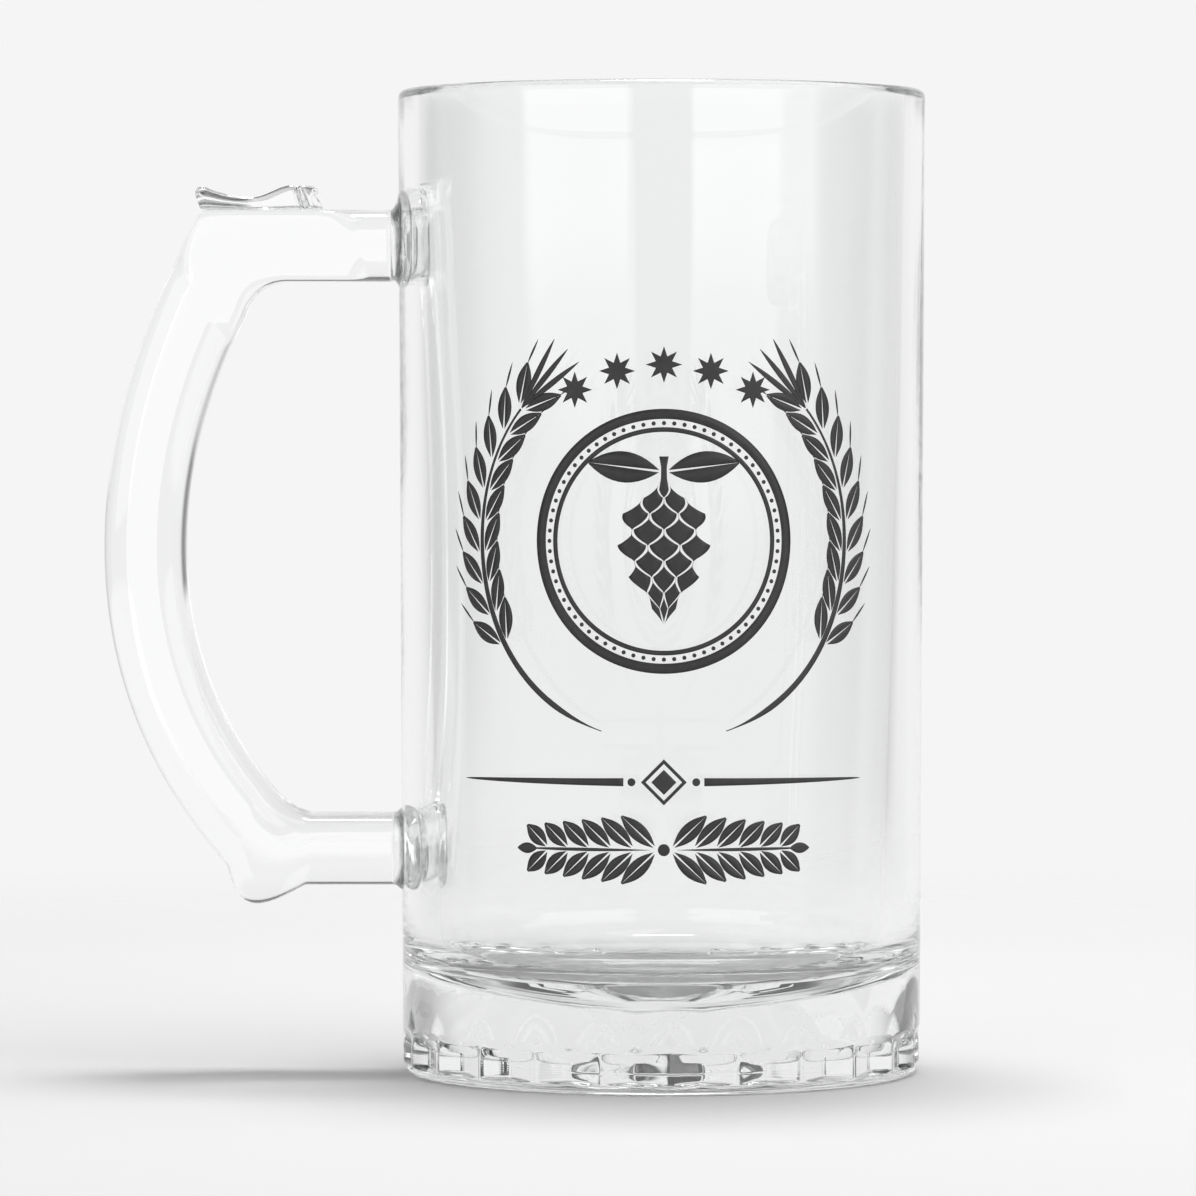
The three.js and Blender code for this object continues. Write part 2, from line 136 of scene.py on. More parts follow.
class Sock:
    # wraps an output socket, so that shader maths reads as Python
    def __init__(self, tree, socket):
        self.tree = tree
        self.socket = socket

    def maths(self, operation, *values):
        return self.make("ShaderNodeMath", {"operation": operation}, dict(enumerate(values)))

    def make(self, kind, settings=None, inputs=None, output=0):
        return makeNode(self.tree, kind, settings, inputs, output)

    def __add__(self, other):
        return self.maths("ADD", self, other)

    def __sub__(self, other):
        return self.maths("SUBTRACT", self, other)

    def __rsub__(self, other):
        return self.maths("SUBTRACT", other, self)

    def __mul__(self, other):
        return self.maths("MULTIPLY", self, other)

    def __abs__(self):
        return self.maths("ABSOLUTE", self)

    __radd__ = __add__
    __rmul__ = __mul__

    def ramp(self, low, high):
        # 0 below low, 1 above high, smooth between
        settings = {"interpolation_type": "SMOOTHSTEP"}
        return self.make("ShaderNodeMapRange", settings, {"Value": self, "From Min": low, "From Max": high})


def makeNode(tree, kind, settings=None, inputs=None, output=0):
    node = tree.nodes.new(kind)
    for key, value in (settings or {}).items():
        setattr(node, key, value)
    for key, value in (inputs or {}).items():
        if isinstance(value, Sock):
            tree.links.new(value.socket, node.inputs[key])
        else:
            node.inputs[key].default_value = value
    return Sock(tree, node.outputs[output])


def newMaterial(name):
    material = bpy.data.materials.new(name)
    material.use_nodes = True
    tree = material.node_tree
    tree.nodes.clear()
    return material, tree


def finishTree(tree, kind, shader):
    output = tree.nodes.new(kind)
    tree.links.new(shader.socket, output.inputs["Surface"])
    return output


def noise(tree, place, scale, detail):
    return makeNode(tree, "ShaderNodeTexNoise", None, {"Vector": place, "Scale": scale, "Detail": detail})


# Clear glass: a little uneven from the mould, with faint smears that dull the polish

glassLook = {
    "ior": 1.51,
    "tint": (0.985, 0.99, 0.988, 1),
    "depthColour": (0.5, 0.52, 0.51, 1), "depth": 3.2,   # what a thick stretch of glass swallows, per metre
    "roughness": 0.004,
    "smear": 0.012,        # added roughness in the smears
    "smearSize": 60, "smearEdge": (0.5, 0.8),
    "rippleSize": 22,      # waves per metre
    "ripple": 0.06,        # bump strength
    "rippleHeight": 0.0004,
}


def glassMaterial():
    g = glassLook
    material, tree = newMaterial("clear_glass")
    place = makeNode(tree, "ShaderNodeTexCoord", None, None, "Object")
    wave = noise(tree, place, g["rippleSize"], 1.0)
    smear = noise(tree, place, g["smearSize"], 3.0)
    bump = makeNode(tree, "ShaderNodeBump", None,
                    {"Strength": g["ripple"], "Distance": g["rippleHeight"], "Height": wave})
    shader = makeNode(tree, "ShaderNodeBsdfPrincipled", None, {
        "Base Color": g["tint"],
        "Roughness": smear.ramp(*g["smearEdge"]) * g["smear"] + g["roughness"],
        "IOR": g["ior"],
        "Transmission Weight": 1.0,
        "Normal": bump,
    })
    output = finishTree(tree, "ShaderNodeOutputMaterial", shader)
    thick = makeNode(tree, "ShaderNodeVolumeAbsorption", None,
                     {"Color": g["depthColour"], "Density": g["depth"]})
    tree.links.new(thick.socket, output.inputs["Volume"])
    return material


# Charcoal enamel: fired ink, a touch uneven in cover and gloss

inkLook = {
    "dark": (0.014, 0.014, 0.0145, 1), "light": (0.026, 0.026, 0.0265, 1),
    "ior": 1.5, "roughness": 0.5, "glossSpread": 0.2,
    "grain": 900, "grainEdge": (0.45, 0.75),
    "grainShare": 0.4,     # the share of the cover that follows the grain
    "grainBump": 0.15, "grainHeight": 0.00005,
    "mottle": 160, "mottleEdge": (0.4, 0.7),
}


def inkMaterial():
    k = inkLook
    material, tree = newMaterial("charcoal_enamel")
    place = makeNode(tree, "ShaderNodeTexCoord", None, None, "Object")
    grain = noise(tree, place, k["grain"], 2.0)
    mottle = noise(tree, place, k["mottle"], 3.0)
    cover = (grain.ramp(*k["grainEdge"]) * k["grainShare"]
             + mottle.ramp(*k["mottleEdge"]) * (1 - k["grainShare"]))
    colour = makeNode(tree, "ShaderNodeMix", {"data_type": "RGBA"},
                      {0: cover, 6: k["dark"], 7: k["light"]}, 2)
    bump = makeNode(tree, "ShaderNodeBump", None,
                    {"Strength": k["grainBump"], "Distance": k["grainHeight"], "Height": grain})
    shader = makeNode(tree, "ShaderNodeBsdfPrincipled", None, {
        "Base Color": colour,
        "Roughness": mottle * k["glossSpread"] + (k["roughness"] - k["glossSpread"] / 2),
        "IOR": k["ior"],
        "Normal": bump,
    })
    finishTree(tree, "ShaderNodeOutputMaterial", shader)
    return material


clearGlass = glassMaterial()
charcoalEnamel = inkMaterial()
print("materials made")


# Tumbler: a profile turned about its axis, with lobes pressed into the foot and flutes into the underside

tumbler = {
    "height": 150, "rimRadius": 40.2, "heelRadius": 39.6,
    "rimWall": 3.3, "lowerWall": 5.6, "rimRound": (1.1, 1.5),   # rounding of the rim, outside and inside
    "floorHeight": 17, "floorDish": 6.5, "floorFillet": 5.0,
    "lobeCount": 24, "lobeRadius": 39.5, "lobeDepth": 1.2,
    "lobeBottom": 1.4, "lobeShoulder": 4.9, "lobeTop": 6.2,   # facets stand straight up to the shoulder
    "facetRound": (0.3, 0.5),                               # at a facet's foot, inwards and up
    "grooveDepth": 0.03, "grooveScallop": 0.2, "grooveEase": (0.5, 0.8), "footHeight": 7.6,
    "beadRadius": 38.9, "beadHeight": 0.9, "beadRound": 0.35, "beadHollow": 0.5,
    "ringOuter": 37.2, "ringInner": 34, "ringRound": 0.6, "ringStep": (0.5, 0.35),
    "recessDepth": 1.3, "fluteDepth": 0.03,                 # flutes run out from the punt
    "puntRadius": 9.6, "puntRise": 3.6, "puntFlat": 4.2,
    "puntRound": (0.5, 0.4, 0.3),   # round the flat top, inwards, outwards and down
    "hub": 0.4,                     # radius of the first and last ring
    "ridgeRound": 0.07,             # rounding of ridges and valleys, as a share of a facet
    "facetColumns": 10, "gathering": 0.8,
    "phase": 1.2,                   # degrees that the front ridge is turned to the right
    "waviness": 0.035,              # unevenness of the inside, from the plunger
    "waves": ((1, 3, 0.045, 0), (0.7, 7, -0.02, 1.3), (0.5, 2, 0.16, 0)),   # size, waves round, climb, shift
    "calmFloor": (3, 18), "calmRim": 22,   # where the waves die away, above the floor and below the rim
}


def wallRadius(height):
    # the outside of the wall: a straight line from the heel to the rim
    b = tumbler
    share = (height - b["footHeight"]) / (b["height"] - b["footHeight"])
    return b["heelRadius"] + (b["rimRadius"] - b["heelRadius"]) * share


def tumblerProfile():
    # (radius, height) from the middle of the underside, up the outside, over the rim, down to the floor
    b = tumbler
    puntTop = b["recessDepth"] + b["puntRise"]
    before, after, drop = b["puntRound"]
    puntTurn = (b["puntFlat"] - before, puntTop)
    puntSlope = (b["puntFlat"] + after, puntTop - drop)
    puntEdge = (b["puntRadius"], b["recessDepth"])
    roof = (b["ringInner"] - b["recessDepth"] - b["ringRound"], b["recessDepth"])
    step = (b["ringInner"] - b["ringStep"][0], b["ringStep"][1])
    ring = (b["ringInner"] + b["ringRound"], 0)
    bead = (b["beadRadius"], b["beadHeight"] / 2)
    beadTop = (b["beadRadius"] - b["beadRound"], b["beadHeight"])
    hollow = (b["beadRadius"] - b["beadHollow"], b["lobeBottom"])
    facetFoot = (b["lobeRadius"] - b["facetRound"][0], b["lobeBottom"])
    facetLow = (b["lobeRadius"], b["lobeBottom"] + b["facetRound"][1])
    shoulder = (b["lobeRadius"], b["lobeShoulder"])
    groove = (b["lobeRadius"] - b["grooveDepth"], b["lobeTop"])
    heel = (b["heelRadius"], b["footHeight"])
    leave, settle = b["grooveEase"]
    floorRadius = wallRadius(b["floorHeight"]) - b["lowerWall"]
    floorEdge = (floorRadius, b["floorHeight"] + b["floorFillet"])
    dish = (floorRadius - b["floorFillet"], b["floorHeight"] - b["floorFillet"] / 4)
    bottom = b["floorHeight"] - b["floorDish"]
    lip, lipInside = b["rimRadius"], b["rimRadius"] - b["rimWall"]
    rimOut, rimIn = b["rimRound"]
    turn = np.linspace(0, math.pi / 2, 11)[:, None]
    corner = np.concatenate((np.cos(turn), np.sin(turn)), 1)
    rim = np.concatenate((
        np.array((lip - rimOut, b["height"] - rimOut)) + rimOut * corner,
        np.array((lipInside + rimIn, b["height"] - rimIn)) + rimIn * corner[::-1] * (-1, 1),
    ))
    return chain(
        straight((b["hub"], puntTop), puntTurn, 4),
        bezier2(puntTurn, (b["puntFlat"], puntTop), puntSlope, 4),
        straight(puntSlope, puntEdge, 12),
        straight(puntEdge, roof, 10),
        bezier2(roof, (b["ringInner"] - b["recessDepth"], b["recessDepth"]), step, 5),
        bezier2(step, (b["ringInner"], 0), ring, 4),
        straight(ring, (b["ringOuter"], 0), 3),
        bezier2((b["ringOuter"], 0), (b["beadRadius"], 0), bead, 8),
        bezier2(bead, (b["beadRadius"], b["beadHeight"]), beadTop, 6),
        bezier2(beadTop, hollow, facetFoot, 6),
        bezier2(facetFoot, (b["lobeRadius"], b["lobeBottom"]), facetLow, 5),
        straight(facetLow, shoulder, 5),
        bezier2(shoulder, (b["lobeRadius"], b["lobeTop"]), groove, 14),
        bezier3(groove, (groove[0], groove[1] + leave), (heel[0], heel[1] - settle), heel, 12),
        straight(heel, (lip, b["height"] - rimOut), 24),
        rim,
        straight((lipInside, b["height"] - rimIn), floorEdge, 30),
        bezier2(floorEdge, (floorRadius, b["floorHeight"]), dish, 8),
        bezier2(dish, (dish[0] / 2, bottom), (b["hub"], bottom), 18),
    )


def facetAngles():
    # columns lie closer at each ridge and valley: u - gathering sin(2 pi u) / 2 pi within a facet
    b = tumbler
    facets = 2 * b["lobeCount"]
    u = np.arange(b["facetColumns"]) / b["facetColumns"]
    within = u - b["gathering"] * np.sin(2 * math.pi * u) / (2 * math.pi)
    turns = (np.arange(facets)[:, None] + within[None]).reshape(-1) / facets
    return math.radians(b["phase"]) + 2 * math.pi * turns


def valleyShare(angle):
    # 0 on a lobe's ridge, 1 in the valley beside it, straight between, both ends rounded
    turn = (angle - math.radians(tumbler["phase"])) * tumbler["lobeCount"] / (2 * math.pi)
    t = 2 * np.abs(turn - np.round(turn))
    soft = tumbler["ridgeRound"]
    low = np.sqrt(t**2 + soft**2) - soft
    high = np.sqrt((1 - t) ** 2 + soft**2) - soft
    return low / (low + high)


def makeTumbler():
    # the profile carried round the axis, on a grid of heights and angles
    b = tumbler
    profile = tumblerProfile()
    angle = facetAngles()
    angles = np.repeat(angle[None], len(profile), 0)
    radius = np.repeat(profile[:, :1], len(angle), 1)
    height = np.repeat(profile[:, 1:], len(angle), 1)
    valley = valleyShare(angles)
    outside = (np.arange(len(profile)) < np.argmax(profile[:, 1]))[:, None]
    # lobes: valleys drawn in, the groove lifted over each ridge
    onFoot = outside & (radius > b["ringOuter"]) & (height > b["beadHeight"]) & (height < b["footHeight"])
    rising = smoothStep(height, b["beadHeight"], b["lobeBottom"] + b["facetRound"][1])
    fading = 1 - np.clip((height - b["lobeShoulder"]) / (b["footHeight"] - b["lobeShoulder"]), 0, 1)
    inward = b["lobeDepth"] * valley * rising * fading
    lift = b["grooveScallop"] * (0.5 - valley) * smoothStep(height, b["lobeShoulder"], b["lobeTop"])
    lift = lift * (1 - smoothStep(height, b["lobeTop"], b["footHeight"]))
    newRadius = np.where(onFoot, radius - inward, radius)
    newHeight = np.where(onFoot, height + lift, height)
    # flutes pressed into the recess, deepest at the punt's edge, none at its middle or by the ring
    roofEdge = b["ringInner"] - b["recessDepth"]
    inRecess = outside & (radius < roofEdge)
    fade = (smoothStep(radius, b["hub"], b["puntRadius"])
            * (1 - smoothStep(radius, b["puntRadius"], roofEdge)))
    newHeight = np.where(inRecess, newHeight - b["fluteDepth"] * valley * fade, newHeight)
    # inside: slow waves left by the plunger, sines that run round and up
    floorLow, floorHigh = b["calmFloor"]
    calm = (smoothStep(height, b["floorHeight"] + floorLow, b["floorHeight"] + floorHigh)
            * (1 - smoothStep(height, b["height"] - b["calmRim"], b["height"] - b["rimWall"])))
    wave = sum(size * np.sin(turns * angles + climb * height + shift)
               for size, turns, climb, shift in b["waves"])
    newRadius = np.where(outside, newRadius, newRadius + b["waviness"] * wave * calm)
    rings = np.stack((axisX + newRadius * np.sin(angles), -newRadius * np.cos(angles), newHeight), -1)
    skin = Skin().rings(rings, (axisX, 0, profile[0, 1]), (axisX, 0, profile[-1, 1]))
    return skin.piece("tumbler", "glass_body", "clear_glass", clearGlass)


glassTumbler = makeTumbler()
print("tumbler", len(glassTumbler.data.polygons), "faces")


# Handle: rounded rectangles between an outer and an inner rail

handle = {
    "reach": 85.1, "upperArm": 126.3, "lowerArm": 34.2,
    "armDepth": 11, "armWidth": 12.5, "bowDepth": 12.5, "bowWidth": 14,
    "crown": 80.2, "upperFullness": 0.49, "lowerFullness": 0.57,   # where the bow reaches farthest
    "shoulderReach": 70.4, "shoulderDepth": 8.4, "shoulderRound": 1.8,
    "heelReach": 66.4, "heelDepth": 8.6, "heelRound": 6, "heelDrop": 5.1, "gapFillet": 5.2,
    "sealThickness": 1.1, "fuse": 0.03,   # the skins run this far into each other, as fused glass
    "squareness": 3.4, "seatSquareness": 12,
    "seatReach": (47, 53), "seatBlend": 3,   # where the corners turn square under the thumb rest
    "sides": 120, "steps": (30, 22, 60, 30, 30),
}


def armStart(height):
    # an arm's end runs just into its seal
    return -(wallRadius(height) + handle["sealThickness"] - handle["fuse"])


def bow(start, reach, end, count):
    # two quadratic curves, both upright where they meet at the crown
    h = handle
    crown = (-reach, h["crown"])
    above = (-reach, crown[1] + (start[1] - crown[1]) * h["upperFullness"])
    below = (-reach, crown[1] - (crown[1] - end[1]) * h["lowerFullness"])
    return chain(bezier2(start, above, crown, count), bezier2(crown, below, end, count))


def handleRails():
    # (distance from the tumbler's axis, height) along the outside and the inside, from arm to arm
    h = handle
    n = h["steps"]
    top, bottom = h["upperArm"] + h["armDepth"] / 2, h["lowerArm"] - h["armDepth"] / 2
    shoulder = (-h["shoulderReach"] - h["shoulderRound"] / 3, top - h["shoulderRound"])
    heel = (-h["heelReach"], bottom + h["heelRound"] / 2)
    flat = (-h["shoulderReach"] + h["shoulderRound"], top)
    heelCorner = (-h["heelReach"] + 0.3 * h["heelRound"], bottom - h["heelDrop"])
    heelFlat = (-h["heelReach"] + 0.9 * h["heelRound"], bottom - 0.7 * h["heelDrop"])
    heelEnd = (-h["heelReach"] + 2 * h["heelRound"], bottom)
    outer = chain(
        straight((armStart(h["upperArm"]), top), flat, n[0]),
        bezier2(flat, (-h["shoulderReach"], top), shoulder, n[1]),
        bow(shoulder, h["reach"], heel, n[2]),
        bezier3(heel, heelCorner, heelFlat, heelEnd, n[3]),
        straight(heelEnd, (armStart(h["lowerArm"]), bottom), n[4]),
    )
    gapTop, gapBottom = h["upperArm"] - h["armDepth"] / 2, h["lowerArm"] + h["armDepth"] / 2
    cornerTop = -h["shoulderReach"] + h["shoulderDepth"]
    cornerLow = -h["heelReach"] + h["heelDepth"]
    f = h["gapFillet"]
    topTurn, topEnd = (cornerTop + f, gapTop), (cornerTop - f / 3, gapTop - f)
    lowTurn, lowEnd = (cornerLow - f / 2, gapBottom + f), (cornerLow + f, gapBottom)
    inner = chain(
        straight((armStart(h["upperArm"]), gapTop), topTurn, n[0]),
        bezier2(topTurn, (cornerTop, gapTop), topEnd, n[1]),
        bow(topEnd, h["reach"] - h["bowDepth"], lowTurn, n[2]),
        bezier2(lowTurn, (cornerLow + f / 4, gapBottom), lowEnd, n[3]),
        straight(lowEnd, (armStart(h["lowerArm"]), gapBottom), n[4]),
    )
    return outer, inner


def roundedSection(sides, squareness):
    # superellipse: each of cos and sin raised to 2/squareness, keeping its sign; one row per squareness
    angle = np.linspace(0, 2 * math.pi, sides, endpoint=False)
    cos, sin = np.cos(angle), np.sin(angle)
    power = 2 / squareness
    return np.sign(cos) * np.abs(cos) ** power, np.sign(sin) * np.abs(sin) ** power


def railLoft(outer, inner, halfWidth, sides, squareness):
    # rounded rectangles from rail to rail: along the middle of both, wide in Y
    middle = (outer + inner) / 2
    across = (outer - inner) / 2
    cos, sin = roundedSection(sides, squareness)
    x = axisX + middle[:, :1] + across[:, :1] * cos
    z = middle[:, 1:] + across[:, 1:] * cos
    return np.stack((x, halfWidth * sin, z), -1)


def makeHandle():
    # the half-width swells as half a sine from the arms to the bow
    h = handle
    outer, inner = handleRails()
    share = np.linspace(0, 1, len(outer))[:, None]
    halfWidth = (h["armWidth"] + (h["bowWidth"] - h["armWidth"]) * np.sin(share * math.pi)) / 2
    # squarer corners where the thumb rest sits on the shoulder
    onShoulder = smoothStep(outer[:, 1:], h["upperArm"] - h["seatBlend"], h["upperArm"] + h["seatBlend"])
    underRest = smoothStep(-outer[:, :1], *h["seatReach"]) * onShoulder
    squareness = h["squareness"] + (h["seatSquareness"] - h["squareness"]) * underRest
    rings = railLoft(outer, inner, halfWidth, h["sides"], squareness)
    skin = Skin().rings(rings, rings[0].mean(0), rings[-1].mean(0))
    return skin.piece("bow_handle", "handle", "clear_glass", clearGlass)


bowHandle = makeHandle()
print("handle", len(bowHandle.data.polygons), "faces")


# Thumb rest: a pulled lip, a hollow and a hooked crest, lofted from its seat to its wave

thumbRest = {
    "length": 18.9, "width": 13.4, "overhang": 0.5,
    "lip": 3.6, "lipLength": 1.6, "dip": 1.85, "crest": 3.75, "crownLength": 1.5, "hook": 1.1,
    "dipPlace": 8.6, "crestPlace": 14.9,
    "edgeRound": 0.15, "hookRound": 0.2, "hookThickness": (0.55, 0.5), "hookNarrowing": 0.12,
    "seatEdge": 0.3, "seatLip": 2, "seatCrest": 1, "hollow": (1.9, 0.35),   # the hollow under the hook
    "creaseDepth": 3.4, "creasePlace": 15.6, "creaseWidth": 0.34,   # the fold in the glass before the hook
    "striation": 0.05, "striationCount": 5.5, "striationEnd": (0.12, 0.5),   # ridges drawn along the lip
    "squareness": 12, "sides": 160,
}


def saddleRails():
    # both rails run from the lip to the hook, heights from the seat, distances from the lip
    t = thumbRest
    soft = t["edgeRound"]
    dip = (t["dipPlace"], t["dip"])
    crest = (t["crestPlace"], t["crest"])
    lip = (t["lipLength"], t["lip"] - soft)
    lipSide = (0, t["lip"] * 0.7)
    crown = (t["length"] - t["crownLength"], t["crest"] - soft)
    hook = (t["length"] - soft, t["crest"] - t["hook"])
    hookTop = (t["length"] - t["hookRound"], t["crest"] - t["hookRound"])
    wave = chain(
        bezier2(lipSide, (soft, t["lip"] + soft), lip, 12),
        bezier2(lip, (t["dipPlace"] * 0.6, t["dip"]), dip, 22),
        bezier3(dip, (dip[0] * 1.25, t["dip"]), (crest[0] * 0.85, t["crest"]), crest, 22),
        straight(crest, crown, 60),
        bezier2(crown, hookTop, hook, 12),
    )
    heel = (t["length"] + t["seatEdge"], 0)
    underCrest = (crest[0] + t["seatCrest"], 0)
    hollow = (t["length"] - t["hollow"][0], t["crest"] * t["hollow"][1])
    underHook = (hook[0] - t["hookThickness"][0], hook[1] - t["hookThickness"][1])
    seat = chain(
        straight((t["overhang"] + t["seatEdge"], 0), (t["seatLip"], 0), 12),
        straight((t["seatLip"], 0), (dip[0], 0), 22),
        straight((dip[0], 0), underCrest, 22),
        straight(underCrest, heel, 60),
        bezier2(heel, hollow, underHook, 12),
    )
    return wave, seat


def makeThumbRest():
    # rounded rectangles from the seat to the wave
    t = thumbRest
    wave, seat = saddleRails()
    seatHeight = handle["upperArm"] + handle["armDepth"] / 2 - handle["fuse"]
    corner = np.array((-handle["shoulderReach"] - t["overhang"], seatHeight))
    along = wave[:, :1]
    # the crease: the width drawn in by a bell curve
    crease = np.exp(-(((along - t["creasePlace"]) / t["creaseWidth"]) ** 2))
    narrowing = 1 - t["hookNarrowing"] * smoothStep(along, t["creasePlace"], t["length"])
    halfWidth = t["width"] / 2 * narrowing - t["creaseDepth"] * crease
    rings = railLoft(wave + corner, seat + corner, halfWidth, t["sides"], t["squareness"])
    # ridges along the lip: the width swells in cosine bands up its side, fading into the hollow
    up, _ = roundedSection(t["sides"], t["squareness"])
    fade = 1 - smoothStep(along / t["length"], *t["striationEnd"])
    rings[..., 1] *= 1 + t["striation"] * np.cos(2 * math.pi * t["striationCount"] * up)[None] * fade
    skin = Skin().rings(rings, rings[0].mean(0), rings[-1].mean(0))
    return skin.piece("thumb_saddle", "thumb_rest", "clear_glass", clearGlass)


thumbSaddle = makeThumbRest()
print("thumb rest", len(thumbSaddle.data.polygons), "faces")


# Seals: each spreads from an arm's end over the wall in a hollow curve

seals = {
    "upper_seal": {"height": handle["upperArm"], "rise": 0.9, "flare": 1.9, "sweep": 2.2},
    "lower_seal": {"height": handle["lowerArm"], "rise": 0.0, "flare": 0.9, "sweep": 1.3},
}
sealShape = {
    "sides": 72, "steps": 24, "faceSteps": 7, "squareness": 3.4,
    "depthFlare": 0.3,   # they spread less in depth than in height
}


def makeSeal(node, height, rise, flare, sweep):
    # the arm's section grows by flare * share^sweep towards the wall, and its last ring lies on the wall
    s = sealShape
    cos, sin = roundedSection(s["sides"], s["squareness"])
    radius = wallRadius(height)
    outerX = -(radius + handle["sealThickness"])
    share = np.linspace(0, 1, s["steps"] + 1)[:, None]
    flare = flare * share**sweep
    y = (handle["armWidth"] / 2 + flare * s["depthFlare"]) * cos
    z = height + rise * share + (handle["armDepth"] / 2 + flare) * sin
    wallX = -np.sqrt((wallRadius(z) - handle["fuse"]) ** 2 - y**2)
    side = np.stack((outerX + (wallX - outerX) * share, y, z), -1)
    # both ends are closed by rings that shrink to a point
    inward = np.linspace(1, 0, s["faceSteps"] + 1)[1:-1, None]
    faceY = inward * y[0]
    faceZ = height + inward * (z[0] - height)
    face = np.stack((np.full(faceY.shape, outerX), faceY, faceZ), -1)[::-1]
    backY = inward * y[-1]
    backZ = height + rise + inward * (z[-1] - height - rise)
    back = np.stack((-np.sqrt((wallRadius(backZ) - handle["fuse"]) ** 2 - backY**2), backY, backZ), -1)
    rings = np.concatenate((face, side, back)) + np.array((axisX, 0, 0))
    startPoint = (axisX + outerX, 0, height)
    endPoint = (axisX - wallRadius(height + rise) + handle["fuse"], 0, height + rise)
    return Skin().rings(rings, startPoint, endPoint).piece(node + "_glass", node, "clear_glass", clearGlass)


for node, place in seals.items():
    makeSeal(node, **place)
print("seals made")


# Print: flat motifs on the unrolled wall, wrapped round it as thin films

enamel = {"gap": 0.012, "film": 0.03, "leafTip": 0.02, "leastHalf": 0.02}


def nodePlace(node):
    # a node's middle on the unrolled wall: (distance across from the front, height)
    low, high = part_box(node)
    middle = (low + high) / 2 / mm
    radius = wallRadius(middle.z)
    return np.array((radius * math.asin((middle.x - axisX) / radius), middle.z))


medallion = nodePlace("print_ring")


def wrapFilm(flat, out):
    # the distance across becomes an angle round the tumbler
    angle = flat[..., 0] / wallRadius(medallion[1])
    radius = wallRadius(flat[..., 1]) + enamel["gap"] + out
    return np.stack((axisX + radius * np.sin(angle), -radius * np.cos(angle), flat[..., 1]), -1)


def ribbon(skin, left, right, lanes=3, closed=False):
    # a film between two edges, each a row of flat points
    share = np.linspace(0, 1, lanes + 1)[None, :, None]
    lane = left[:, None] * (1 - share) + right[:, None] * share
    rings = np.concatenate((wrapFilm(lane, enamel["film"]), wrapFilm(lane[:, ::-1], 0)), 1)
    if closed:
        skin.rings(rings, closeRows=True)
    else:
        skin.rings(rings, rings[0].mean(0), rings[-1].mean(0))


def turned(flat, angle):
    # flat points turned about the origin
    cos, sin = math.cos(angle), math.sin(angle)
    return flat @ np.array(((cos, sin), (-sin, cos)))


def leafFilm(skin, place, angle, length, width, vein=0.0, steps=12):
    # a pointed oval, half-width 2w u(1-u) along its length u, parted by a vein when it has one
    u = np.linspace(enamel["leafTip"], 1 - enamel["leafTip"], steps)
    half = np.maximum(width * 2 * u * (1 - u), vein / 2 + enamel["leastHalf"])
    upper = np.stack((length * u, half), -1)
    lower = upper * (1, -1)
    if not vein:
        ribbon(skin, place + turned(upper, angle), place + turned(lower, angle))
        return
    middle = np.stack((length * u, np.full(steps, vein / 2) * (1 - u)), -1)
    ribbon(skin, place + turned(upper, angle), place + turned(middle, angle), 2)
    ribbon(skin, place + turned(middle * (1, -1), angle), place + turned(lower, angle), 2)


def ringFilm(skin, place, radius, band, steps=180):
    # a ribbon between two circles
    unit = circle(steps)
    ribbon(skin, place + unit * (radius - band), place + unit * radius, 2, True)


def patchFilm(skin, outline):
    # a patch shrunk from its outline, given anticlockwise, to its middle
    middle = outline.mean(0)
    share = np.array((0.35, 0.7, 1.0))[:, None, None]
    grid = middle + (outline - middle) * share
    rings = np.concatenate((wrapFilm(grid, enamel["film"]), wrapFilm(grid[::-1], 0)))
    skin.rings(rings, wrapFilm(middle, enamel["film"]), wrapFilm(middle, 0))


def dotFilm(skin, place, radius, steps=12):
    # a round patch
    patchFilm(skin, place + radius * circle(steps))


def alongSides(corners, perSide):
    # a closed outline with straight sides, each cut into a few steps
    along = np.arange(len(corners) * perSide) / perSide
    closed = np.concatenate((corners, corners[:1]))
    keys = np.arange(len(closed))
    return np.stack([np.interp(along, keys, closed[:, axis]) for axis in (0, 1)], -1)


def polygonFilm(skin, corners, perSide=3):
    # a patch with straight sides
    patchFilm(skin, alongSides(corners, perSide))


def printPiece(skin, node):
    skin.piece(node + "_film", node, "charcoal_enamel", charcoalEnamel)


ringSizes = {"outer": 19.5, "outerBand": 1.5, "inner": 16.8, "innerBand": 0.7, "beads": 72, "bead": 0.32}


def makeRings():
    # a broad ring with a string of beads inside it, then a fine ring
    r = ringSizes
    skin = Skin()
    ringFilm(skin, medallion, r["outer"], r["outerBand"])
    beadCircle = (r["outer"] - r["outerBand"] + r["inner"]) / 2
    for spot in circle(r["beads"]):
        dotFilm(skin, medallion + beadCircle * spot, r["bead"])
    printPiece(skin, "print_ring")
    skin = Skin()
    ringFilm(skin, medallion, r["inner"], r["innerBand"])
    printPiece(skin, "print_inner_ring")


hop = {
    "length": 25, "width": 14.4, "stalk": 4,
    "rows": 8, "scaleGap": 0.5, "scaleSwell": 0.85, "scaleTip": 0.03, "scaleLift": 0.25,
    "neck": 0.25,   # the least share of the width, at the cone's top
    # half-width, and height as a share of the stalk: down to a bud between the two top scales
    "stalkEdge": ((0.7, 1), (0.42, 0.6), (0.45, 0.2), (0.6, -0.05),
                  (0.72, -0.225), (0.45, -0.3875), (0.08, -0.5)),
    "leafLength": 11, "leafWidth": 4.6, "vein": 0.35, "leafTilt": 0.12, "leafStart": (0.5, 0.45),
}


